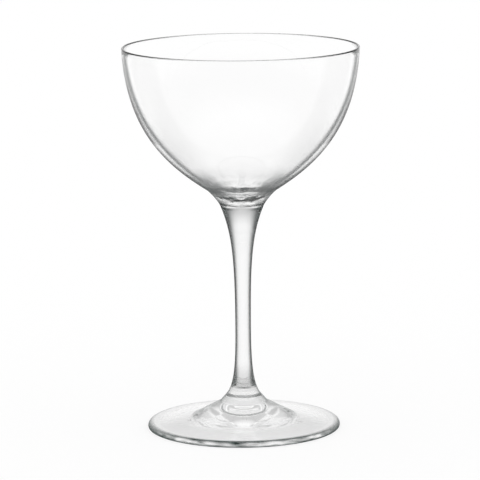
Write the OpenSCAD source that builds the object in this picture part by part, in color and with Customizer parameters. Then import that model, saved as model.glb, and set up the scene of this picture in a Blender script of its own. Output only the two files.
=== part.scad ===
// Stemmed cocktail glass with a small deep bowl, all in clear glass.
// A blown bowl, a drawn stem and a pressed foot are fused end to end at two flat welds.
// The origin is the centre of the ring that the foot rests on, and +Z runs up the axis of the glass.
// A lean is an angle from upright, in degrees. Every height is along the axis.

/* [Bowl] */
// Outside diameter of the rim
rim_d = 97; // [80:0.5:110]
// Height from the weld under the bowl to the top of the rim
bowl_h = 65; // [50:0.5:80]
// Thickness of the wall at the rim
rim_wall = 1; // [0.7:0.05:1.6]
// Lean of the wall at the rim
rim_lean = 3; // [0:0.5:6]
// Outside diameter where the wall runs over into the neck
root_d = 30; // [25:0.5:38]
// Height of that place above the weld under the bowl
root_h = 6.7; // [5:0.1:9]
// Lean of the wall at that place
root_lean = 57; // [48:1:64]
// Thickness of the wall at that place
root_wall = 2.1; // [1.4:0.1:3]
// Thickness of the glass between the drinking space and the weld
floor_t = 1.2; // [0.8:0.1:2.5]

/* [Stem] */
// Height of the stem from weld to weld
stem_h = 80; // [55:0.5:110]
// Diameter at the weld under the bowl
neck_d = 18.2; // [14:0.1:21]
// Lean of the surface at the weld under the bowl
neck_lean = 23; // [15:1:32]
// Diameter of the narrowest place
waist_d = 6.4; // [5:0.1:9]
// Height of the narrowest place above the weld on the foot
waist_h = 29; // [20:0.5:38]
// Diameter at the weld on the foot
ankle_d = 15.6; // [12:0.1:19]
// Lean of the surface at the weld on the foot
ankle_lean = 44; // [32:1:54]

/* [Foot] */
// Outside diameter of the foot
foot_d = 79.3; // [68:0.1:95]
// Height from the table to the weld on the foot
foot_h = 13; // [10.5:0.1:17]
// Distance that the flare of the stem runs out below the weld, as far as the crease above the cone
flare_w = 1.9; // [1.2:0.1:2.6]
// Height of the flare below the weld
flare_h = 2.2; // [1.6:0.1:2.8]
// Lean of the flare at the crease
flare_lean = 40; // [34:1:46]
// Lean of the cone at the crease
cone_lean = 66; // [60:1:70]
// Diameter of the cone, where it runs out into the disc
shoulder_d = 42.5; // [36:0.5:52]
// Height of the glass above the table at that place
shoulder_h = 4.7; // [4.2:0.1:6]
// Lean of the cone at that place
shoulder_lean = 64; // [58:1:70]
// Thickness of the foot at its edge
edge_h = 2.7; // [2:0.1:3.3]
// Radius of the rounding at the bottom of the edge
edge_round = 0.9; // [0.5:0.1:1.4]
// Width of the flat ring that the foot rests on
rest_w = 4; // [2:0.1:8]
// Depth of the hollow inside that ring, up to the dome in its middle
hollow_h = 2.8; // [2:0.1:3.4]
// Diameter of the dome in the middle of the hollow
dome_d = 15; // [11:0.5:18]
// Height of the dome above the hollow
dome_h = 1.6; // [0.8:0.1:2.4]
// Lean of the side of the dome where it leaves the hollow
dome_lean = 35; // [25:1:50]

/* [Hidden] */
$fn = 128;

// Points on each curve and on each rounding
curve_steps = 24;
round_steps = 8;

// Pull at the two ends of each curve, as shares of the distance between them
wall_pull_shares = [0.47, 0.325];
underside_pull_shares = [0.33, 0.1];
inside_pull_shares = [0.275, 0.485];
floor_pull_shares = [0.5, 0.3];
upper_stem_pull_shares = [0.25, 0.54];
lower_stem_pull_shares = [0.65, 0.17];
disc_pull_shares = [0.08, 0.4];
dome_pull_shares = [0.5, 0.5];
even_pull_shares = [1 / 3, 1 / 3];

// Heights of the welds and of the rim above the table
stem_z = foot_h;
bowl_z = foot_h + stem_h;
rim_z = bowl_h + bowl_z;

// Ends of the curves, each a radius and a height
lip_r = rim_wall / 2;
lip_centre = [rim_d / 2 - lip_r, rim_z - lip_r];
lip_side = lip_r * [cos(rim_lean), -sin(rim_lean)];
root = [root_d / 2, bowl_z + root_h];
inner_root = root + root_wall * [-cos(root_lean), sin(root_lean)];
floor_middle = [0, bowl_z + floor_t];
neck = [neck_d / 2, bowl_z];
waist = [waist_d / 2, stem_z + waist_h];
ankle = [ankle_d / 2, stem_z];
crease = ankle + [flare_w, -flare_h];
shoulder = [shoulder_d / 2, shoulder_h];
edge_top_r = edge_h - edge_round;
edge_top_centre = [foot_d / 2 - edge_top_r, edge_round];
edge_low_centre = [foot_d / 2 - edge_round, edge_round];
hollow_r = edge_low_centre.x - rest_w;
dome_side = [dome_d / 2, hollow_h];
hollow_rise = atan(2 * hollow_h / (hollow_r - dome_side.x));

// Directions in which a curve runs, as angles from straight down towards the outside
outwards = 90;
upwards = 180;
inwards = -90;

// Step of unit length in one of those directions
function heading(angle) = [sin(angle), -cos(angle)];

// Point on the cubic curve with ends a and d and handles b and c, at share t of its run
function cubic(a, b, c, d, t) =
    pow(1 - t, 3) * a + 3 * pow(1 - t, 2) * t * b + 3 * (1 - t) * pow(t, 2) * c + pow(t, 3) * d;

// Points of a smooth curve after its start, with the directions in which it leaves and arrives
function bend(start, leave, stop, arrive, pull_shares) =
    let (reach = norm(stop - start))
    let (first = start + pull_shares[0] * reach * heading(leave))
    let (last = stop - pull_shares[1] * reach * heading(arrive))
    [for (i = [1 : curve_steps]) cubic(start, first, last, stop, i / curve_steps)];

// Points of a rounding after its start, between two angles counted from the outside upwards
function rounding(centre, radius, start, stop) =
    [for (i = [1 : round_steps])
        let (angle = start + (stop - start) * i / round_steps)
        centre + radius * [cos(angle), sin(angle)]];

// Solid turned about the axis from its half section
module turned(points) {
    color([0.92, 0.95, 0.95, 0.4]) rotate_extrude() polygon(points);
}

// Thin-walled cup with a rounded rim and a rounded floor, open at the top
module bowl() {
    outside = concat(
        [lip_centre + lip_side],
        bend(lip_centre + lip_side, -rim_lean, root, -root_lean, wall_pull_shares),
        bend(root, -root_lean, neck, -neck_lean, underside_pull_shares)
    );
    inside = concat(
        [floor_middle],
        bend(floor_middle, outwards, inner_root, upwards - root_lean, floor_pull_shares),
        bend(inner_root, upwards - root_lean, lip_centre - lip_side, upwards - rim_lean, inside_pull_shares)
    );
    lip = rounding(lip_centre, lip_r, upwards - rim_lean, -rim_lean);
    turned(concat(outside, [[0, bowl_z]], inside, lip));
}

// Solid drawn stem, narrow in the middle and flared to both welds
module stem() {
    side = concat(
        [neck],
        bend(neck, -neck_lean, waist, 0, upper_stem_pull_shares),
        bend(waist, 0, ankle, ankle_lean, lower_stem_pull_shares)
    );
    turned(concat([[0, bowl_z]], side, [[0, stem_z]]));
}

// Pressed disc with a cone in its middle, a rounded edge and a domed hollow inside its resting ring
module foot() {
    top = concat(
        [ankle],
        bend(ankle, ankle_lean, crease, flare_lean, even_pull_shares),
        bend(crease, cone_lean, shoulder, shoulder_lean, even_pull_shares),
        bend(shoulder, shoulder_lean, edge_top_centre + [0, edge_top_r], outwards, disc_pull_shares)
    );
    edge = concat(
        rounding(edge_top_centre, edge_top_r, outwards, 0),
        rounding(edge_low_centre, edge_round, 0, inwards)
    );
    underside = concat(
        [[hollow_r, 0]],
        bend([hollow_r, 0], inwards - hollow_rise, dome_side, inwards, even_pull_shares),
        bend(dome_side, dome_lean - upwards, [0, hollow_h + dome_h], inwards, dome_pull_shares)
    );
    turned(concat([[0, stem_z]], top, edge, underside));
}

bowl();
stem();
foot();
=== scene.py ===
"""Clear stemmed cocktail glass: three turned pieces of glass, their finishes with painted shade, and a
plain white studio.
"""

import logging
import math
from dataclasses import dataclass, field
from enum import Enum
from typing import ClassVar

import bmesh
import bpy
from mathutils import Matrix, Vector


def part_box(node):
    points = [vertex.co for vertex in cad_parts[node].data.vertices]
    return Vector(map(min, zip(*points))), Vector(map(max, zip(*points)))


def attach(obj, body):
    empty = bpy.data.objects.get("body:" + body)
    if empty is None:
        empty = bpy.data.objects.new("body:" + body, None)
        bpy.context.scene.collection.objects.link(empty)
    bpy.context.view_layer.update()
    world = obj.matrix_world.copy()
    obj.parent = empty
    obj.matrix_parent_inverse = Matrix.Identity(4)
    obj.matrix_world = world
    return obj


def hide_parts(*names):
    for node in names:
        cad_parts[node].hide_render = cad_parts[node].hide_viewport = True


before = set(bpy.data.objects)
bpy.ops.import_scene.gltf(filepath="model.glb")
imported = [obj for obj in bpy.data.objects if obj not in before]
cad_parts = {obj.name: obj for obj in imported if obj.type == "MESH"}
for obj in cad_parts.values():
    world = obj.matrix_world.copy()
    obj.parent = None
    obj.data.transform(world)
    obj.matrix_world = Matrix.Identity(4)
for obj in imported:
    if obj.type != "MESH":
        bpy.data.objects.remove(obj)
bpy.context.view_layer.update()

LOG = logging.getLogger("cocktail_glass")
BODY = "root"
MM = 0.001

# A point of a half section: its radius and its height, in metres
Point = tuple[float, float]

# Pull at the two ends of a curve, as shares of the distance between them
Shares = tuple[float, float]

# Vertices of one point of a half section: one on the axis, or a circle of them
Circle = list[bmesh.types.BMVert]

# A colour: its red, green and blue
Colour = tuple[float, float, float]

# A node, and an input or a result of one
Node = bpy.types.Node
Socket = bpy.types.NodeSocket

# What an input takes: the result of another node, or a number
Value = Socket | float

# Directions in which a half section runs, as angles in degrees from straight down towards the outside
OUTWARDS = 90.0
UPWARDS = 180.0
INWARDS = -90.0

# Radius below which a point of a half section lies on the axis
AXIS_R = 0.001 * MM

# Pull of a curve that bends evenly
EVEN_SHARES: Shares = (1 / 3, 1 / 3)

# Sizes at the welds, each shared by the two pieces that meet there, with leans in degrees from upright
NECK_LEAN = 23.0
ANKLE_R = 7.8 * MM
ANKLE_LEAN = 44.0


class Skin(Enum):
    """Kinds of surface on a turned piece, in the order of its material slots."""

    GLASS = 0
    WELD = 1
    INSIDE = 2


@dataclass(frozen=True)
class Bend:
    """Smooth cubic stretch of a half section.

    Attributes:
        leave: direction at its start, in degrees.
        arrive: direction at its end, in degrees.
        pull_shares: reach of the two handles.
        steps: number of points after the start.
    """

    leave: float
    arrive: float
    pull_shares: Shares
    steps: int = 32

    @staticmethod
    def heading(angle: float) -> Vector:
        """Return the step of unit length in a direction given in degrees."""
        return Vector((math.sin(math.radians(angle)), -math.cos(math.radians(angle))))

    def points(self, start: Point, stop: Point) -> list[Point]:
        """Work out the points of the stretch.

        Args:
            start: where the stretch begins.
            stop: where it ends.

        Returns:
            The points after the start, up to and with the end.
        """
        a, d = Vector(start), Vector(stop)
        reach = (d - a).length
        b = a + self.pull_shares[0] * reach * self.heading(self.leave)
        c = d - self.pull_shares[1] * reach * self.heading(self.arrive)
        run: list[Point] = []
        for i in range(1, self.steps + 1):
            t = i / self.steps
            s = 1 - t
            run.append(tuple(s**3 * a + 3 * s * s * t * b + 3 * s * t * t * c + t**3 * d))
        return run


@dataclass(frozen=True)
class Rounding:
    """Circular stretch of a half section.

    Attributes:
        centre: middle of the circle.
        radius: radius of the circle.
        start: angle where the stretch begins, in degrees from the outside upwards.
        stop: angle where it ends.
        steps: number of points after the start.
    """

    centre: Point
    radius: float
    start: float
    stop: float
    steps: int = 12

    def points(self) -> list[Point]:
        """Work out the points of the stretch.

        Returns:
            The points after the start, up to and with the end.
        """
        turn = (self.stop - self.start) / self.steps
        angles = [math.radians(self.start + turn * i) for i in range(1, self.steps + 1)]
        r, z = self.centre
        return [(r + self.radius * math.cos(a), z + self.radius * math.sin(a)) for a in angles]


@dataclass
class HalfSection:
    """Outline of a turned piece from axis to axis.

    Attributes:
        points: the points of the outline.
        skins: the kind of surface on the way to each of them.
    """

    points: list[Point] = field(default_factory=list)
    skins: list[Skin] = field(default_factory=list)

    def add(self, points: list[Point], skin: Skin = Skin.GLASS) -> "HalfSection":
        """Append points, and say what skin the stretches that end at them have.

        Args:
            points: the next points of the outline.
            skin: the kind of surface on the way to each of them.

        Returns:
            The half section itself.
        """
        self.points += points
        self.skins += [skin] * len(points)
        return self

    def bend(self, stop: Point, curve: Bend, skin: Skin = Skin.GLASS) -> "HalfSection":
        """Append a smooth stretch from the last point to another, and return the half section."""
        return self.add(curve.points(self.points[-1], stop), skin)


@dataclass
class TurnedPiece:
    """Piece of glass turned about the upright axis.

    Attributes:
        name: name of the Blender object.
        node: the CAD node that it stands for.
        slot: the record's material slot, which nothing here reads.
        segments: faces around the axis.
    """

    name: ClassVar[str]
    node: ClassVar[str]
    slot: ClassVar[str]
    segments: ClassVar[int]

    def section(self) -> HalfSection:
        """Return the outline of the piece, which each kind of piece gives in its own way."""
        raise NotImplementedError

    def circle(self, mesh: bmesh.types.BMesh, point: Point) -> Circle:
        """Make the vertices of one point of the outline.

        Args:
            mesh: the mesh under construction.
            point: radius and height.

        Returns:
            One vertex on the axis, or a circle of them.
        """
        r, z = point
        if r < AXIS_R:
            return [mesh.verts.new((0, 0, z))]
        angles = [math.tau / self.segments * i for i in range(self.segments)]
        return [mesh.verts.new((r * math.cos(a), r * math.sin(a), z)) for a in angles]

    def band(self, mesh: bmesh.types.BMesh, first: Circle, second: Circle, skin: Skin) -> None:
        """Join the vertices of two neighbouring points with faces.

        Args:
            mesh: the mesh under construction.
            first: the vertices that come first along the outline.
            second: the vertices that come next.
            skin: the kind of surface between them.
        """
        for i in range(self.segments):
            j = (i + 1) % self.segments
            ways = ((first, i), (second, i), (second, j), (first, j))
            corners = [circle[k % len(circle)] for circle, k in ways]
            face = mesh.faces.new(list(dict.fromkeys(corners)))
            face.material_index = skin.value
            face.smooth = True

    def mesh(self) -> bpy.types.Mesh:
        """Turn the outline into a closed mesh.

        Returns:
            The mesh, smooth but for the edges of the welds.
        """
        outline = self.section()
        mesh = bmesh.new()
        circles = [self.circle(mesh, point) for point in outline.points]
        for first, second, skin in zip(circles, circles[1:], outline.skins[1:]):
            self.band(mesh, first, second, skin)
        bmesh.ops.recalc_face_normals(mesh, faces=mesh.faces)
        for edge in mesh.edges:
            edge.smooth = len({face.material_index == Skin.WELD.value for face in edge.link_faces}) == 1
        data = bpy.data.meshes.new(self.name)
        mesh.to_mesh(data)
        mesh.free()
        return data

    def build(self, finishes: dict[Skin, bpy.types.Material]) -> bpy.types.Object:
        """Make the piece in the place of its CAD node.

        Args:
            finishes: the material of each skin, in the order of the skins.

        Returns:
            The new object.
        """
        data = self.mesh()
        for finish in finishes.values():
            data.materials.append(finish)
        piece = bpy.data.objects.new(self.name, data)
        bpy.context.scene.collection.objects.link(piece)
        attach(piece, BODY)
        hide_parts(self.node)
        LOG.info("%s: %d faces in place of node %s", self.name, len(data.polygons), self.node)
        return piece


@dataclass
class Bowl(TurnedPiece):
    """Blown cup with a thin rounded rim, a rounded floor and an open top.

    Attributes:
        rim_r: outside radius of the rim.
        rim_z: height of the rim.
        weld_z: height of the weld on the stem.
        neck_r: radius at that weld.
        rim_wall: thickness of the wall at the rim.
        rim_lean: lean of the wall at the rim.
        root_r: outside radius where the wall runs over into the neck.
        root_h: height of that place above the weld.
        root_lean: lean of the wall at that place.
        root_wall: thickness of the wall at that place.
        floor_t: thickness of the glass between the drinking space and the weld.
        floor_pull_shares: pull of the curve of the floor.
        inside_pull_shares: pull of the curve up the inside.
        wall_pull_shares: pull of the curve down the outside.
        underside_pull_shares: pull of the curve down to the weld.
        wall_steps: points on each of the two long curves.
    """

    name: ClassVar[str] = "bowl_glass_body"
    node: ClassVar[str] = "bowl"
    slot: ClassVar[str] = "bowl_glass"
    segments: ClassVar[int] = 192

    rim_r: float
    rim_z: float
    weld_z: float
    neck_r: float
    rim_wall: float = 1.0 * MM
    rim_lean: float = 3.0
    root_r: float = 15.0 * MM
    root_h: float = 6.7 * MM
    root_lean: float = 57.0
    root_wall: float = 2.1 * MM
    floor_t: float = 1.2 * MM
    floor_pull_shares: Shares = (0.5, 0.3)
    inside_pull_shares: Shares = (0.275, 0.485)
    wall_pull_shares: Shares = (0.47, 0.325)
    underside_pull_shares: Shares = (0.33, 0.1)
    wall_steps: int = 48

    def section(self) -> HalfSection:
        """Draw the outline from the floor up the inside, over the rim and down the outside to the weld.

        Returns:
            The outline.
        """
        lip_r = self.rim_wall / 2
        lean = math.radians(self.rim_lean)
        lip = Vector((self.rim_r - lip_r, self.rim_z - lip_r))
        side = lip_r * Vector((math.cos(lean), -math.sin(lean)))
        root = Vector((self.root_r, self.weld_z + self.root_h))
        slope = math.radians(self.root_lean)
        inner_root = root + self.root_wall * Vector((-math.cos(slope), math.sin(slope)))
        rise = UPWARDS - self.root_lean
        rim_rise = UPWARDS - self.rim_lean
        floor = Bend(OUTWARDS, rise, self.floor_pull_shares)
        inside = Bend(rise, rim_rise, self.inside_pull_shares, self.wall_steps)
        rim = Rounding(tuple(lip), lip_r, rim_rise, -self.rim_lean)
        wall = Bend(-self.rim_lean, -self.root_lean, self.wall_pull_shares, self.wall_steps)
        underside = Bend(-self.root_lean, -NECK_LEAN, self.underside_pull_shares)
        outline = HalfSection().add([(0.0, self.weld_z + self.floor_t)])
        outline.bend(tuple(inner_root), floor, Skin.INSIDE)
        outline.bend(tuple(lip - side), inside, Skin.INSIDE)
        outline.add(rim.points())
        outline.bend(tuple(root), wall)
        outline.bend((self.neck_r, self.weld_z), underside)
        return outline.add([(0.0, self.weld_z)], Skin.WELD)


@dataclass
class Stem(TurnedPiece):
    """Solid drawn stem, narrow in the middle and flared to both welds.

    Attributes:
        top_z: height of the weld under the bowl.
        foot_z: height of the weld on the foot.
        neck_r: radius at the weld under the bowl.
        waist_r: radius of the narrowest place.
        waist_h: height of that place above the weld on the foot.
        upper_pull_shares: pull of the curve from the neck to the waist.
        lower_pull_shares: pull of the curve from the waist to the ankle.
        side_steps: points on each of the two curves.
    """

    name: ClassVar[str] = "stem_glass_body"
    node: ClassVar[str] = "stem"
    slot: ClassVar[str] = "stem_glass"
    segments: ClassVar[int] = 128

    top_z: float
    foot_z: float
    neck_r: float
    waist_r: float = 3.2 * MM
    waist_h: float = 29.0 * MM
    upper_pull_shares: Shares = (0.25, 0.54)
    lower_pull_shares: Shares = (0.65, 0.17)
    side_steps: int = 40

    def section(self) -> HalfSection:
        """Draw the outline from the upper weld down the side to the lower weld.

        Returns:
            The outline.
        """
        upper = Bend(-NECK_LEAN, 0.0, self.upper_pull_shares, self.side_steps)
        lower = Bend(0.0, ANKLE_LEAN, self.lower_pull_shares, self.side_steps)
        outline = HalfSection().add([(0.0, self.top_z)])
        outline.add([(self.neck_r, self.top_z)], Skin.WELD)
        outline.bend((self.waist_r, self.foot_z + self.waist_h), upper)
        outline.bend((ANKLE_R, self.foot_z), lower)
        return outline.add([(0.0, self.foot_z)], Skin.WELD)


@dataclass
class Foot(TurnedPiece):
    """Pressed disc with a cone in its middle, a rounded edge and a domed hollow inside its resting ring.

    Attributes:
        foot_r: outside radius.
        weld_z: height of the weld under the stem.
        flare_w: distance that the flare of the stem runs out below the weld, as far as the crease.
        flare_h: height of the flare below the weld.
        flare_lean: lean of the flare at the crease.
        cone_lean: lean of the cone at the crease.
        shoulder_r: radius of the cone, where it runs out into the disc.
        shoulder_h: height of the glass at that place.
        shoulder_lean: lean of the cone at that place.
        edge_h: thickness at the edge.
        edge_round: radius of the rounding at the bottom of the edge.
        rest_w: width of the flat ring that the foot rests on.
        hollow_h: depth of the hollow inside that ring.
        dome_r: radius of the dome in the middle of the hollow.
        dome_h: height of the dome above the hollow.
        dome_lean: lean of the side of the dome.
        disc_pull_shares: pull of the curve over the disc.
        dome_pull_shares: pull of the curve over the dome.
        flare_steps: points on the flare.
        disc_steps: points on the disc.
    """

    name: ClassVar[str] = "foot_glass_body"
    node: ClassVar[str] = "foot"
    slot: ClassVar[str] = "foot_glass"
    segments: ClassVar[int] = 192

    foot_r: float
    weld_z: float
    flare_w: float = 1.9 * MM
    flare_h: float = 2.2 * MM
    flare_lean: float = 40.0
    cone_lean: float = 66.0
    shoulder_r: float = 21.25 * MM
    shoulder_h: float = 4.7 * MM
    shoulder_lean: float = 64.0
    edge_h: float = 2.7 * MM
    edge_round: float = 0.9 * MM
    rest_w: float = 4.0 * MM
    hollow_h: float = 2.8 * MM
    dome_r: float = 7.5 * MM
    dome_h: float = 1.6 * MM
    dome_lean: float = 35.0
    disc_pull_shares: Shares = (0.08, 0.4)
    dome_pull_shares: Shares = (0.5, 0.5)
    flare_steps: int = 10
    disc_steps: int = 60

    def section(self) -> HalfSection:
        """Draw the outline from the weld over the top and the edge to the middle of the underside.

        Returns:
            The outline.
        """
        top_r = self.edge_h - self.edge_round
        top = (self.foot_r - top_r, self.edge_round)
        low = (self.foot_r - self.edge_round, self.edge_round)
        hollow_r = low[0] - self.rest_w
        rise = math.degrees(math.atan(2 * self.hollow_h / (hollow_r - self.dome_r)))
        flare = Bend(ANKLE_LEAN, self.flare_lean, EVEN_SHARES, self.flare_steps)
        cone = Bend(self.cone_lean, self.shoulder_lean, EVEN_SHARES)
        disc = Bend(self.shoulder_lean, OUTWARDS, self.disc_pull_shares, self.disc_steps)
        hollow = Bend(INWARDS - rise, INWARDS, EVEN_SHARES)
        dome = Bend(self.dome_lean - UPWARDS, INWARDS, self.dome_pull_shares)
        outline = HalfSection().add([(0.0, self.weld_z)])
        outline.add([(ANKLE_R, self.weld_z)], Skin.WELD)
        outline.bend((ANKLE_R + self.flare_w, self.weld_z - self.flare_h), flare)
        outline.bend((self.shoulder_r, self.shoulder_h), cone)
        outline.bend((top[0], self.edge_h), disc)
        outline.add(Rounding(top, top_r, OUTWARDS, 0.0).points())
        outline.add(Rounding(low, self.edge_round, 0.0, INWARDS).points())
        outline.add([(hollow_r, 0.0)])
        outline.bend((self.dome_r, self.hollow_h), hollow)
        return outline.bend((0.0, self.hollow_h + self.dome_h), dome)


@dataclass(frozen=True)
class NodeDesk:
    """Nodes under construction, with short ways to add the common kinds.

    Attributes:
        tree: the nodes of a material, a world or a group.
    """

    tree: bpy.types.NodeTree

    def add(self, kind: str, **choices: object) -> Node:
        """Add a node.

        Args:
            kind: Blender's name for the kind of node.
            choices: settings of the node, such as its operation.

        Returns:
            The new node.
        """
        node = self.tree.nodes.new(kind)
        for name, choice in choices.items():
            setattr(node, name, choice)
        return node

    def feed(self, target: Socket, value: Value) -> None:
        """Give an input its value.

        Args:
            target: the input.
            value: a constant, or the result of another node.
        """
        if isinstance(value, Socket):
            self.tree.links.new(value, target)
        else:
            target.default_value = value

    def mix(self, factor: Value, a: Value, b: Value) -> Socket:
        """Add a mix of two values.

        Args:
            factor: what chooses, from 0 for the first value to 1 for the second.
            a: the first value.
            b: the second value.

        Returns:
            The mixed value.
        """
        node = self.add("ShaderNodeMix")
        for name, value in (("Factor", factor), ("A", a), ("B", b)):
            self.feed(node.inputs[name], value)
        return node.outputs["Result"]

    def step(self, value: Value, low: float, high: float) -> Socket:
        """Add a smooth step.

        Args:
            value: the value to look at.
            low: value where the step begins at 0.
            high: value where it ends at 1.

        Returns:
            The step.
        """
        node = self.add("ShaderNodeMapRange", interpolation_type="SMOOTHSTEP")
        for name, given in (("Value", value), ("From Min", low), ("From Max", high)):
            self.feed(node.inputs[name], given)
        return node.outputs["Result"]

    def calc(self, operation: str, *values: Value, clamp: bool = False) -> Socket:
        """Add a sum, a product or the like.

        Args:
            operation: Blender's name for it.
            values: the values that go into it.
            clamp: whether the result is kept between 0 and 1.

        Returns:
            The result.
        """
        node = self.add("ShaderNodeMath", operation=operation, use_clamp=clamp)
        for target, value in zip(node.inputs, values):
            self.feed(target, value)
        return node.outputs["Value"]

    def place(self) -> Node:
        """Add the position on the object.

        Returns:
            The node with the position by its parts.
        """
        split = self.add("ShaderNodeSeparateXYZ")
        self.feed(split.inputs["Vector"], self.add("ShaderNodeTexCoord").outputs["Object"])
        return split

    def radius(self, place: Node) -> Socket:
        """Add the distance from the axis.

        Args:
            place: the node with the position.

        Returns:
            The distance.
        """
        level = self.add("ShaderNodeCombineXYZ")
        for axis in "XY":
            self.feed(level.inputs[axis], place.outputs[axis])
        far = self.add("ShaderNodeVectorMath", operation="LENGTH")
        self.feed(far.inputs[0], level.outputs["Vector"])
        return far.outputs["Value"]


class RippleAndShadeMottle:
    """Group of nodes for noise, shared by the glass finishes: the slow waves that a tool or the fire leaves
    in glass, and the mottling of painted shade and painted glints.

    Attributes:
        NAME: name of the group.
        DETAIL: number of finer waves on the waves.
        LEVEL: mean height of the waves.
        WAVES: name of the input for the number of waves.
        LAYERS: name of the input for the waves that lie closer upwards.
        HEIGHT: name of the result.
    """

    NAME = "glass_ripple_and_shade_mottle"
    DETAIL = 1.0
    LEVEL = 0.5
    WAVES = "Waves per metre"
    LAYERS = "Layers per wave"
    HEIGHT = "Height"

    @classmethod
    def group(cls) -> bpy.types.NodeTree:
        """Look the group up, and build it the first time.

        Returns:
            The group of nodes.
        """
        if cls.NAME in bpy.data.node_groups:
            return bpy.data.node_groups[cls.NAME]
        tree = bpy.data.node_groups.new(cls.NAME, "ShaderNodeTree")
        for name in (cls.WAVES, cls.LAYERS):
            tree.interface.new_socket(name, in_out="INPUT", socket_type="NodeSocketFloat")
        tree.interface.new_socket(cls.HEIGHT, in_out="OUTPUT", socket_type="NodeSocketFloat")
        desk = NodeDesk(tree)
        given = desk.add("NodeGroupInput")
        place = desk.add("ShaderNodeTexCoord")
        stretch = desk.add("ShaderNodeCombineXYZ")
        layered = desk.add("ShaderNodeVectorMath", operation="MULTIPLY")
        noise = desk.add("ShaderNodeTexNoise")
        out = desk.add("NodeGroupOutput")
        for axis in "XY":
            desk.feed(stretch.inputs[axis], 1.0)
        desk.feed(stretch.inputs["Z"], given.outputs[cls.LAYERS])
        desk.feed(layered.inputs[0], place.outputs["Object"])
        desk.feed(layered.inputs[1], stretch.outputs["Vector"])
        desk.feed(noise.inputs["Vector"], layered.outputs["Vector"])
        desk.feed(noise.inputs["Scale"], given.outputs[cls.WAVES])
        desk.feed(noise.inputs["Detail"], cls.DETAIL)
        desk.feed(out.inputs[cls.HEIGHT], noise.outputs["Fac"])
        return tree

    @classmethod
    def height(cls, desk: NodeDesk, waves: float, layers: float = 1.0) -> Socket:
        """Place the group in a material.

        Args:
            desk: nodes of the material.
            waves: number of waves in a metre.
            layers: how many times as many waves there are in a metre upwards.

        Returns:
            The height of the waves, from 0 to 1.
        """
        used = desk.add("ShaderNodeGroup", node_tree=cls.group())
        desk.feed(used.inputs[cls.WAVES], waves)
        desk.feed(used.inputs[cls.LAYERS], layers)
        return used.outputs[cls.HEIGHT]


@dataclass(frozen=True)
class Ramp:
    """Grey levels along a scale from 0 to 1: on the glass the share of light that painted shade leaves, in
    the sky its brightness.

    Attributes:
        light_shares: places on the scale, each with its level there.
    """

    light_shares: tuple[tuple[float, float], ...]

    def node(self, desk: NodeDesk, scale: Socket) -> Socket:
        """Add the ramp.

        Args:
            desk: nodes under construction.
            scale: the place on the scale.

        Returns:
            The share that is left.
        """
        ramp = desk.add("ShaderNodeValToRGB")
        marks = ramp.color_ramp.elements
        while len(marks) > 1:
            marks.remove(marks[-1])
        for i, (place, level) in enumerate(self.light_shares):
            mark = marks[0] if i == 0 else marks.new(place)
            mark.position = place
            mark.color = (level, level, level, 1.0)
        desk.feed(ramp.inputs["Fac"], scale)
        return ramp.outputs["Color"]


@dataclass(frozen=True)
class Zone:
    """Stretch of a piece with one painted shade, which runs over smoothly into the painted shade of the
    next stretch.

    Attributes:
        low: height where it begins, in millimetres above the lower end of the piece.
        high: height where it ends.
        shade: painted shade, the share of the light that is left by slant, from 0 for straight on to 1 for
            grazing.
    """

    low: float
    high: float
    shade: Ramp


@dataclass(frozen=True)
class EdgeBand:
    """Painted shade along the edge of a disc: a dark mottled band, standing in for the dark that the edge
    shows.

    Attributes:
        inner_r: radius where the band begins.
        outer_r: radius where it is full.
        height: height of the edge.
        shade: painted shade, the share of the light that is left, from the bottom of the edge to its top.
        end_shade: the same where the edge is seen at a slant.
        waves: mottles in a metre.
        layers: how many times as many mottles there are in a metre upwards.
        mottle: how much the mottling changes the painted shade.
        slant_start: slant where the second shade sets in.
        slant_stop: slant from which only the second shade is left.
    """

    inner_r: float
    outer_r: float
    height: float
    shade: Ramp
    end_shade: Ramp
    waves: float
    layers: float
    mottle: float
    slant_start: float = 0.3
    slant_stop: float = 0.65


@dataclass(frozen=True)
class DarkRing:
    """Painted dark ring where the surface turns sharply, for light that meets it from inside the glass.

    Attributes:
        inner_r: radius where the ring begins.
        outer_r: radius where it ends.
        soft: width of its two soft sides.
        light_share: share of the light that is left in it.
    """

    inner_r: float
    outer_r: float
    soft: float
    light_share: float


@dataclass(frozen=True)
class Pool:
    """Deep short ripples where the glass has run together, with painted glints and dark streaks over them,
    in the lower end of a piece.

    Attributes:
        waves: ripples in a metre.
        depth: height of the ripples.
        full_h: height above the lower end of the piece up to which they are full.
        end_h: height where they end.
        streak_waves: painted bright glints and dark streaks in a metre.
        streak_layers: how many times as many streaks there are in a metre upwards.
        streak: how much the painted streaks change the painted shade.
        streak_full_h: height up to which the streaks are full.
        streak_end_h: height where the streaks end.
    """

    waves: float
    depth: float
    full_h: float
    end_h: float
    streak_waves: float
    streak_layers: float
    streak: float
    streak_full_h: float
    streak_end_h: float


def blank_material(name: str) -> bpy.types.Material:
    """Make a material without nodes.

    Args:
        name: name of the material.

    Returns:
        The new material.
    """
    made = bpy.data.materials.new(name)
    made.use_nodes = True
    made.node_tree.nodes.clear()
    return made


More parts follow.
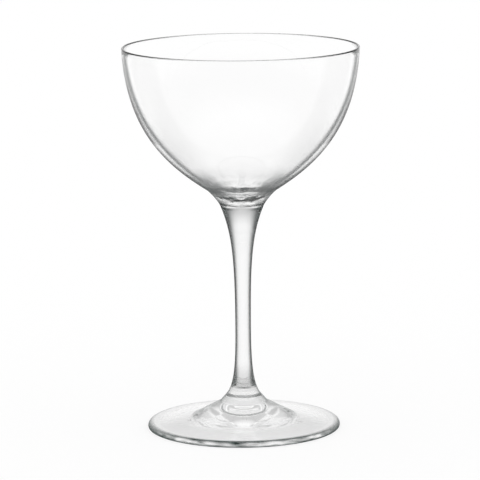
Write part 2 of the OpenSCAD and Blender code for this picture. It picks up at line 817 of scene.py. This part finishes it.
@dataclass(frozen=True)
class GlassFinish:
    """Clear glass with painted shade: mixed towards a dark see-through shader where it is seen at a slant.

    Attributes:
        base_z: height of the lower end of the piece.
        name: name of the material.
        zones: the painted shade of the glass, from the lowest zone up.
        within: the same for light that meets the surface from inside the glass, or nothing for no painted
            shade.
        band: painted dark band along the edge, if there is one.
        ring: painted dark ring seen through the glass, if there is one.
        pool: place with deep ripples, and painted glints and dark streaks, if there is one.
        tint: colour of the glass itself.
        dark: colour of the painted shade, the little light that shaded places still let through.
        clear_share: share of the light that passes each surface on its way to the floor.
        ior: index of refraction.
        ripple_waves: ripples in a metre.
        ripple_depth: height of the ripples.
    """

    # Blend at which the slant is 1 less the cosine of the angle of view
    EVEN_BLEND = 0.5

    base_z: float
    name: str
    zones: tuple[Zone, ...]
    within: tuple[Zone, ...] = ()
    band: EdgeBand | None = None
    ring: DarkRing | None = None
    pool: Pool | None = None
    tint: Colour = (1.0, 1.0, 1.0)
    dark: Colour = (0.05, 0.06, 0.058)
    clear_share: float = 0.9
    ior: float = 1.5
    ripple_waves: float = 60.0
    ripple_depth: float = 0.02 * MM

    def rippled(self, desk: NodeDesk, place: Node) -> Socket:
        """Add the ripples.

        Args:
            desk: nodes of the material.
            place: the node with the position.

        Returns:
            The rippled normal.
        """
        fine = desk.add("ShaderNodeBump")
        desk.feed(fine.inputs["Distance"], self.ripple_depth)
        desk.feed(fine.inputs["Height"], RippleAndShadeMottle.height(desk, self.ripple_waves))
        if not self.pool:
            return fine.outputs["Normal"]
        end = desk.step(place.outputs["Z"], self.base_z + self.pool.full_h, self.base_z + self.pool.end_h)
        deep = desk.add("ShaderNodeBump")
        desk.feed(deep.inputs["Distance"], self.pool.depth)
        desk.feed(deep.inputs["Height"], desk.mix(end, RippleAndShadeMottle.height(desk, self.pool.waves), RippleAndShadeMottle.LEVEL))
        desk.feed(deep.inputs["Normal"], fine.outputs["Normal"])
        return deep.outputs["Normal"]

    def shade(self, desk: NodeDesk, place: Node, normal: Socket) -> Socket:
        """Add the painted shade of the edges.

        Args:
            desk: nodes of the material.
            place: the node with the position.
            normal: the rippled normal.

        Returns:
            The share of the light that the painted shade leaves.
        """
        weight = desk.add("ShaderNodeLayerWeight")
        desk.feed(weight.inputs["Blend"], self.EVEN_BLEND)
        desk.feed(weight.inputs["Normal"], normal)
        slant = weight.outputs["Facing"]
        outside = self.zoned(desk, self.zones, slant, place)
        if self.band:
            outside = self.banded(desk, self.band, slant, place, outside)
        inside: Value = 1.0
        if self.within:
            inside = self.zoned(desk, self.within, slant, place)
        if self.ring:
            inside = self.ringed(desk, self.ring, place, inside)
        side = desk.add("ShaderNodeNewGeometry")
        left = desk.mix(side.outputs["Backfacing"], outside, inside)
        if self.pool:
            left = self.streaked(desk, self.pool, place, left)
        # Reflections show the glass without its painted shade
        rays = desk.add("ShaderNodeLightPath")
        return desk.mix(rays.outputs["Is Reflection Ray"], left, 1.0)

    def zoned(self, desk: NodeDesk, zones: tuple[Zone, ...], slant: Socket, place: Node) -> Socket:
        """Add a shade that changes from zone to zone.

        Args:
            desk: nodes of the material.
            zones: the zones, from the lowest up.
            slant: the slant.
            place: the node with the position.

        Returns:
            The share of the light that is left.
        """
        below = zones[0]
        left = below.shade.node(desk, slant)
        for above in zones[1:]:
            end_z = self.base_z + below.high * MM
            next_z = self.base_z + above.low * MM
            turn = desk.step(place.outputs["Z"], end_z, next_z)
            left = desk.mix(turn, left, above.shade.node(desk, slant))
            below = above
        return left

    def banded(self, desk: NodeDesk, band: EdgeBand, slant: Socket, place: Node, left: Socket) -> Socket:
        """Add the painted dark band of the edge to the painted shade.

        Args:
            desk: nodes of the material.
            band: the band.
            slant: the slant.
            place: the node with the position.
            left: the share that is left without the band.

        Returns:
            The share that is left with the band.
        """
        rise = desk.add("ShaderNodeMapRange")
        desk.feed(rise.inputs["Value"], place.outputs["Z"])
        desk.feed(rise.inputs["From Min"], self.base_z)
        desk.feed(rise.inputs["From Max"], self.base_z + band.height)
        front = band.shade.node(desk, rise.outputs["Result"])
        end = band.end_shade.node(desk, rise.outputs["Result"])
        noise = RippleAndShadeMottle.height(desk, band.waves, band.layers)
        mottle = desk.calc("MULTIPLY_ADD", noise, band.mottle, 1.0 - band.mottle * RippleAndShadeMottle.LEVEL)
        mottled = desk.calc("MULTIPLY", front, mottle, clamp=True)
        turned = desk.step(slant, band.slant_start, band.slant_stop)
        edge = desk.step(desk.radius(place), band.inner_r, band.outer_r)
        return desk.mix(edge, left, desk.mix(turned, mottled, end))

    @staticmethod
    def ringed(desk: NodeDesk, ring: DarkRing, place: Node, left: Value) -> Socket:
        """Add the painted dark ring to the painted shade.

        Args:
            desk: nodes of the material.
            ring: the ring.
            place: the node with the position.
            left: the share that is left without the ring.

        Returns:
            The share that is left with the ring.
        """
        far = desk.radius(place)
        begun = desk.step(far, ring.inner_r - ring.soft, ring.inner_r)
        ended = desk.step(far, ring.outer_r, ring.outer_r + ring.soft)
        return desk.mix(ended, desk.mix(begun, left, ring.light_share), left)

    def streaked(self, desk: NodeDesk, pool: Pool, place: Node, left: Socket) -> Socket:
        """Add the painted glints and dark streaks of the pool to the painted shade.

        Args:
            desk: nodes of the material.
            pool: the pool.
            place: the node with the position.
            left: the share that is left without the streaks.

        Returns:
            The share that is left with the streaks.
        """
        noise = RippleAndShadeMottle.height(desk, pool.streak_waves, pool.streak_layers)
        change = desk.calc("MULTIPLY_ADD", noise, pool.streak, -pool.streak * RippleAndShadeMottle.LEVEL)
        changed = desk.calc("ADD", left, change, clamp=True)
        full_z = self.base_z + pool.streak_full_h
        end_z = self.base_z + pool.streak_end_h
        end = desk.step(place.outputs["Z"], full_z, end_z)
        return desk.mix(end, changed, left)

    def material(self) -> bpy.types.Material:
        """Build the material.

        Returns:
            The new material.
        """
        made = blank_material(self.name)
        desk = NodeDesk(made.node_tree)
        place = desk.place()
        normal = self.rippled(desk, place)
        glass = desk.add("ShaderNodeBsdfPrincipled")
        glass.inputs["Base Color"].default_value = (*self.tint, 1.0)
        glass.inputs["Transmission Weight"].default_value = 1.0
        glass.inputs["IOR"].default_value = self.ior
        glass.inputs["Roughness"].default_value = 0.0
        # Dark see-through shader that the glass is mixed towards where its shade is painted
        dark = desk.add("ShaderNodeBsdfTransparent")
        dark.inputs["Color"].default_value = (*self.dark, 1.0)
        edged = desk.add("ShaderNodeMixShader")
        clear = desk.add("ShaderNodeBsdfTransparent")
        clear.inputs["Color"].default_value = (*[self.clear_share] * 3, 1.0)
        rays = desk.add("ShaderNodeLightPath")
        lit = desk.calc("MAXIMUM", rays.outputs["Is Shadow Ray"], rays.outputs["Is Diffuse Ray"])
        both = desk.add("ShaderNodeMixShader")
        out = desk.add("ShaderNodeOutputMaterial")
        desk.feed(glass.inputs["Normal"], normal)
        desk.feed(edged.inputs["Fac"], self.shade(desk, place, normal))
        desk.feed(edged.inputs[1], dark.outputs["BSDF"])
        desk.feed(edged.inputs[2], glass.outputs["BSDF"])
        desk.feed(both.inputs["Fac"], lit)
        desk.feed(both.inputs[1], edged.outputs["Shader"])
        desk.feed(both.inputs[2], clear.outputs["BSDF"])
        desk.feed(out.inputs["Surface"], both.outputs["Shader"])
        return made


# Slant from which light inside the glass is reflected whole; the painted shades for light from within dip
# there to a dark line
CRITICAL = 0.2546

# Painted shade by slant that the stem shares with the foot and with the bowl
FLARE = Ramp(((0.0, 0.97), (0.3, 0.93), (0.5, 0.75), (0.65, 0.5), (0.8, 0.3), (1.0, 0.22)))
NECK = Ramp(((0.0, 1.0), (0.28, 1.0), (0.4, 0.9), (0.5, 0.4), (0.7, 0.1)))


@dataclass(frozen=True)
class BowlOutsideFinish(GlassFinish):
    """Outside of the bowl with painted shade: dark side lines, painted faint panel reflections and a dark
    lip.
    """

    # Painted shade by slant, zone by zone from the root up to the lip; the small dips in MIDDLE, HIGH and
    # RIM paint faint reflections
    ROOT = Ramp(((0.0, 1.0), (0.6, 1.0), (0.66, 0.8), (0.72, 0.5), (0.8, 0.32), (0.87, 0.2), (1.0, 0.18)))
    LOW = Ramp(((0.0, 1.0), (0.68, 1.0), (0.75, 0.75), (0.81, 0.35), (0.87, 0.15), (1.0, 0.12)))
    MIDDLE = Ramp(
        (
            (0.0, 1.0), (0.3, 1.0), (0.35, 0.97), (0.62, 0.97), (0.68, 1.0),
            (0.74, 1.0), (0.79, 0.9), (0.84, 0.6), (0.9, 0.38), (1.0, 0.3),
        )
    )
    HIGH = Ramp(
        (
            (0.0, 1.0), (0.29, 1.0), (0.34, 0.96), (0.6, 0.945), (0.66, 1.0),
            (0.75, 1.0), (0.85, 0.85), (0.93, 0.68), (1.0, 0.6),
        )
    )
    RIM = Ramp(((0.0, 1.0), (0.28, 1.0), (0.33, 0.96), (0.6, 0.945), (0.66, 1.0), (0.9, 0.95), (1.0, 0.75)))
    LIP = Ramp(
        (
            (0.0, 1.0), (0.12, 0.92), (0.28, 0.46), (0.6, 0.4),
            (0.74, 0.65), (0.84, 0.9), (0.95, 0.8), (1.0, 0.45),
        )
    )

    name: str = "bowl_clear"
    zones: tuple[Zone, ...] = (
        Zone(0.0, 0.4, NECK),
        Zone(5.0, 8.5, ROOT),
        Zone(9.6, 14.0, LOW),
        Zone(32.0, 32.0, MIDDLE),
        Zone(57.0, 61.5, HIGH),
        Zone(63.8, 64.3, RIM),
        Zone(64.6, 65.0, LIP),
    )


@dataclass(frozen=True)
class BowlInsideFinish(GlassFinish):
    """Inside of the bowl with painted shade: a second dark line on its sides, a dark ring, and painted
    glints and streaks in its floor.
    """

    # Painted shade by slant, zone by zone; RING paints a dark arc in the floor, and the shades from within
    # paint dark lines
    FLOOR = Ramp(((0.0, 0.95), (0.3, 0.75), (0.45, 0.5), (0.6, 0.35), (0.8, 0.1)))
    RING = Ramp(((0.0, 0.1), (0.2, 0.07), (0.4, 0.04), (0.7, 0.02)))
    ROOT = Ramp(((0.0, 0.97), (0.22, 0.92), (0.34, 0.6), (0.45, 0.25), (0.55, 0.12), (0.75, 0.08)))
    LOW = Ramp(((0.0, 0.97), (0.3, 0.9), (0.45, 0.7), (0.6, 0.35), (0.75, 0.12), (1.0, 0.05)))
    MIDDLE = Ramp(
        ((0.0, 1.0), (0.35, 0.96), (0.6, 0.85), (0.72, 0.72), (0.8, 0.4), (0.9, 0.15), (1.0, 0.1))
    )
    HIGH = Ramp(((0.0, 1.0), (0.78, 1.0), (0.85, 0.75), (0.92, 0.3), (1.0, 0.2)))
    RIM = Ramp(((0.0, 1.0), (0.85, 1.0), (0.93, 0.85), (1.0, 0.6)))
    FLOOR_WITHIN = Ramp(
        (
            (0.0, 1.0), (0.19, 1.0), (0.215, 0.7), (0.234, 0.2), (CRITICAL, 0.05), (0.3, 0.06),
            (0.335, 0.5), (0.36, 1.0), (0.5, 1.0), (0.65, 0.6), (0.75, 0.3), (0.85, 0.1), (1.0, 0.05),
        )
    )
    ROOT_WITHIN = Ramp(
        (
            (0.0, 1.0), (0.175, 1.0), (0.2, 0.55), (0.22, 0.3), (0.235, 0.12),
            (CRITICAL, 0.04), (0.3, 0.08), (0.34, 0.25), (0.4, 0.6),
        )
    )
    MIDDLE_WITHIN = Ramp(
        (
            (0.0, 1.0), (0.21, 1.0), (0.228, 0.6), (0.245, 0.2),
            (CRITICAL, 0.05), (0.275, 0.2), (0.3, 0.6), (0.34, 1.0),
        )
    )
    HIGH_WITHIN = Ramp(
        (
            (0.0, 1.0), (0.237, 1.0), (0.243, 0.75), (0.248, 0.35),
            (CRITICAL, 0.05), (0.258, 0.25), (0.263, 0.85), (0.268, 1.0),
        )
    )

    name: str = "bowl_inside_clear"
    zones: tuple[Zone, ...] = (
        Zone(1.2, 4.1, FLOOR),
        Zone(4.5, 5.2, RING),
        Zone(5.6, 6.8, ROOT),
        Zone(8.3, 8.3, LOW),
        Zone(14.0, 14.0, MIDDLE),
        Zone(37.0, 61.5, HIGH),
        Zone(64.0, 65.0, RIM),
    )
    within: tuple[Zone, ...] = (
        Zone(1.2, 5.5, FLOOR_WITHIN),
        Zone(7.0, 10.4, ROOT_WITHIN),
        Zone(11.6, 11.6, MIDDLE_WITHIN),
        Zone(18.0, 65.0, HIGH_WITHIN),
    )
    pool: Pool | None = Pool(
        waves=250.0,
        depth=0.28 * MM,
        full_h=8.0 * MM,
        end_h=12.0 * MM,
        streak_waves=260.0,
        streak_layers=5.0,
        streak=1.8,
        streak_full_h=5.6 * MM,
        streak_end_h=7.0 * MM,
    )


@dataclass(frozen=True)
class StemFinish(GlassFinish):
    """Drawn stem with painted shade: dark sides, two dark rings above the foot and a dark line under the
    bowl.
    """

    # Painted shade by slant; the rings above the foot and the line under the bowl are painted dark bands
    ROD = Ramp(((0.0, 0.97), (0.12, 0.91), (0.2, 0.82), (0.3, 0.55), (0.44, 0.2), (0.6, 0.1)))
    ROD_END = Ramp(
        ((0.0, 0.76), (0.1, 0.7), (0.2, 0.46), (0.28, 0.2), (0.4, 0.14), (0.6, 0.16), (0.8, 0.12))
    )
    ANKLE_RING = Ramp(((0.0, 0.45), (0.2, 0.45), (0.3, 0.3), (0.5, 0.25), (0.7, 0.25), (1.0, 0.2)))
    CORE_RING = Ramp(
        ((0.0, 0.35), (0.1, 0.45), (0.2, 0.7), (0.3, 0.7), (0.44, 0.4), (0.65, 0.25), (0.8, 0.2))
    )
    WELD_LINE_SHADE = Ramp(((0.0, 0.92), (0.15, 0.88), (0.21, 0.72), (0.28, 0.4), (0.38, 0.14), (0.5, 0.05)))

    name: str = "stem_clear"
    zones: tuple[Zone, ...] = (
        Zone(0.0, 0.2, FLARE),
        Zone(0.6, 1.2, ANKLE_RING),
        Zone(1.6, 3.7, FLARE),
        Zone(4.1, 4.4, CORE_RING),
        Zone(4.8, 8.0, ROD_END),
        Zone(15.0, 78.2, ROD),
        Zone(78.8, 79.3, WELD_LINE_SHADE),
        Zone(79.9, 80.0, NECK),
    )


@dataclass(frozen=True)
class FootFinish(GlassFinish):
    """Pressed foot with painted shade: a clear disc, a darker cone, a dark mottled edge and a dark outline
    of the dome.
    """

    # Painted shade by slant for the disc and the cone, and by height for the dark mottled edge
    DISC = Ramp(((0.0, 1.0), (0.9, 1.0), (0.97, 0.85), (1.0, 0.7)))
    CONE = Ramp(((0.0, 1.0), (0.4, 1.0), (0.6, 0.9), (0.75, 0.75), (0.9, 0.62), (1.0, 0.58)))
    # Painted shade of the mottled edge, from its bottom to its top, straight on and at a slant
    EDGE = Ramp(
        ((0.0, 0.1), (0.25, 0.3), (0.5, 0.65), (0.7, 0.55), (0.84, 0.16), (0.94, 0.05), (1.0, 0.08))
    )
    EDGE_END = Ramp(
        ((0.0, 0.05), (0.3, 0.06), (0.45, 0.13), (0.6, 0.2), (0.8, 0.3), (0.92, 0.45), (1.0, 0.75))
    )

    name: str = "foot_clear"
    zones: tuple[Zone, ...] = (
        Zone(0.0, 4.3, DISC),
        Zone(4.8, 10.5, CONE),
        Zone(11.0, 13.0, FLARE),
    )
    band: EdgeBand | None = EdgeBand(
        inner_r=36.8 * MM,
        outer_r=38.2 * MM,
        height=2.7 * MM,
        shade=EDGE,
        end_shade=EDGE_END,
        waves=150.0,
        layers=4.0,
        mottle=4.5,
    )
    # Painted dark outline of the dome, seen through the glass
    ring: DarkRing | None = DarkRing(inner_r=7.05 * MM, outer_r=7.45 * MM, soft=0.1 * MM, light_share=0.5)
    dark: Colour = (0.04, 0.06, 0.055)
    ripple_waves: float = 160.0
    ripple_depth: float = 0.08 * MM


@dataclass(frozen=True)
class WeldFinish:
    """Fused seam, which light crosses as if the glass were one piece.

    Attributes:
        name: name of the material.
    """

    name: str = "fused_weld"

    def material(self) -> bpy.types.Material:
        """Build the material.

        Returns:
            The new material.
        """
        made = blank_material(self.name)
        desk = NodeDesk(made.node_tree)
        clear = desk.add("ShaderNodeBsdfTransparent")
        out = desk.add("ShaderNodeOutputMaterial")
        desk.feed(out.inputs["Surface"], clear.outputs["BSDF"])
        return made


@dataclass(frozen=True)
class FloorFinish:
    """Matt white floor with a little light of its own, which keeps it pale and leaves the shadow.

    Attributes:
        name: name of the material.
        white_share: share of the light that it gives back.
        glow: strength of its own light.
    """

    name: str = "floor_white"
    white_share: float = 0.9
    glow: float = 0.1

    def material(self) -> bpy.types.Material:
        """Build the material.

        Returns:
            The new material.
        """
        made = blank_material(self.name)
        desk = NodeDesk(made.node_tree)
        matt = desk.add("ShaderNodeBsdfDiffuse")
        matt.inputs["Color"].default_value = (*[self.white_share] * 3, 1.0)
        glow = desk.add("ShaderNodeEmission")
        glow.inputs["Strength"].default_value = self.glow
        both = desk.add("ShaderNodeAddShader")
        out = desk.add("ShaderNodeOutputMaterial")
        desk.feed(both.inputs[0], matt.outputs["BSDF"])
        desk.feed(both.inputs[1], glow.outputs["Emission"])
        desk.feed(out.inputs["Surface"], both.outputs["Shader"])
        return made


@dataclass(frozen=True)
class Studio:
    """White floor, soft light from all round and the camera.

    Attributes:
        floor_r: radius of the floor.
        floor_segments: sides of the floor.
        backdrop: colour of the world where the camera or the floor sees it.
        sky: light that the glass bends and mirrors, from level to straight up.
        camera_back: distance of the camera before the axis of the glass.
        camera_up: height of the camera.
        pitch: angle by which it looks down, in degrees.
        roll: angle by which it leans aside.
        aside_px: distance of its axis from the middle of the picture, in pixels.
        picture_px: width of the picture.
        focal_px: focal length.
        sensor: width of the sensor, in millimetres.
        far: distance up to which it sees.
        bounces: how often light is bent or mirrored.
        clear_bounces: how often it passes straight through.
    """

    # Turn at which Blender's camera looks level, in degrees
    LEVEL = 90.0

    floor_r: float = 4.0
    floor_segments: int = 64
    backdrop: Colour = (1.0, 1.0, 1.0)
    sky: Ramp = Ramp(((0.12, 1.0), (0.3, 0.6), (0.55, 0.6), (0.8, 1.0)))
    camera_back: float = 1.3382
    camera_up: float = 0.3149
    pitch: float = 10.033
    roll: float = -0.55
    aside_px: float = 2.3
    picture_px: float = 480.0
    focal_px: float = 3312.3
    sensor: float = 36.0
    far: float = 20.0
    bounces: int = 32
    clear_bounces: int = 64

    def lay_floor(self) -> bpy.types.Object:
        """Lay the floor.

        Returns:
            The floor.
        """
        mesh = bmesh.new()
        bmesh.ops.create_circle(mesh, cap_ends=True, segments=self.floor_segments, radius=self.floor_r)
        data = bpy.data.meshes.new("floor")
        mesh.to_mesh(data)
        mesh.free()
        data.materials.append(FloorFinish().material())
        floor = bpy.data.objects.new("floor", data)
        bpy.context.scene.collection.objects.link(floor)
        LOG.info("floor: %.1f m round the glass", self.floor_r)
        return floor

    def light(self) -> bpy.types.World:
        """Set the world: a plain backdrop, and a studio with a dimmer belt for the glass.

        Returns:
            The world.
        """
        world = bpy.data.worlds.new("studio")
        world.use_nodes = True
        world.node_tree.nodes.clear()
        desk = NodeDesk(world.node_tree)
        place = desk.add("ShaderNodeTexCoord")
        split = desk.add("ShaderNodeSeparateXYZ")
        desk.feed(split.inputs["Vector"], place.outputs["Generated"])
        rays = desk.add("ShaderNodeLightPath")
        seen = desk.add("ShaderNodeMix", data_type="RGBA")
        back = desk.add("ShaderNodeBackground")
        out = desk.add("ShaderNodeOutputWorld")
        in_glass = desk.calc("MAXIMUM", rays.outputs["Is Glossy Ray"], rays.outputs["Is Transmission Ray"])
        desk.feed(seen.inputs["Factor"], in_glass)
        seen.inputs["A"].default_value = (*self.backdrop, 1.0)
        desk.feed(seen.inputs["B"], self.sky.node(desk, split.outputs["Z"]))
        desk.feed(back.inputs["Color"], seen.outputs["Result"])
        desk.feed(out.inputs["Surface"], back.outputs["Background"])
        bpy.context.scene.world = world
        LOG.info("world: white, with %d steps of light for the glass", len(self.sky.light_shares))
        return world

    def place_camera(self) -> bpy.types.Object:
        """Place the camera at the photo's angle.

        Returns:
            The camera.
        """
        data = bpy.data.cameras.new("camera")
        data.sensor_width = self.sensor
        data.lens = self.sensor * self.focal_px / self.picture_px
        data.shift_x = -self.aside_px / self.picture_px
        data.clip_end = self.far
        camera = bpy.data.objects.new("camera", data)
        bpy.context.scene.collection.objects.link(camera)
        tilt = Matrix.Rotation(math.radians(self.LEVEL - self.pitch), 4, "X")
        roll = Matrix.Rotation(math.radians(self.roll), 4, "Z")
        place = Matrix.Translation((0.0, -self.camera_back, self.camera_up))
        camera.matrix_world = place @ tilt @ roll
        bpy.context.scene.camera = camera
        LOG.info("camera: %.2f m before the glass", self.camera_back)
        return camera

    def set_quality(self) -> None:
        """Let light pass through as many walls as the glass has, and keep colours as they are written."""
        scene = bpy.context.scene
        scene.cycles.max_bounces = self.bounces
        scene.cycles.transmission_bounces = self.bounces
        scene.cycles.glossy_bounces = self.bounces
        scene.cycles.transparent_max_bounces = self.clear_bounces
        scene.cycles.caustics_reflective = False
        scene.cycles.caustics_refractive = False
        scene.view_settings.view_transform = "Standard"

    def build(self) -> None:
        """Build the whole studio."""
        self.lay_floor()
        self.light()
        self.place_camera()
        self.set_quality()


def main() -> None:
    """Build the glass and the studio round it."""
    logging.basicConfig(level=logging.INFO)
    bowl_low, bowl_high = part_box("bowl")
    stem_low, stem_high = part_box("stem")
    foot_low, foot_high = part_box("foot")
    neck_r = stem_high.x
    bowl = Bowl(rim_r=bowl_high.x, rim_z=bowl_high.z, weld_z=bowl_low.z, neck_r=neck_r)
    stem = Stem(top_z=stem_high.z, foot_z=stem_low.z, neck_r=neck_r)
    foot = Foot(foot_r=foot_high.x, weld_z=foot_high.z)
    weld = WeldFinish().material()
    bowl.build(
        {
            Skin.GLASS: BowlOutsideFinish(base_z=bowl_low.z).material(),
            Skin.WELD: weld,
            Skin.INSIDE: BowlInsideFinish(base_z=bowl_low.z).material(),
        }
    )
    stem.build({Skin.GLASS: StemFinish(base_z=stem_low.z).material(), Skin.WELD: weld})
    foot.build({Skin.GLASS: FootFinish(base_z=foot_low.z).material(), Skin.WELD: weld})
    Studio().build()


if __name__ == "__main__":
    main()
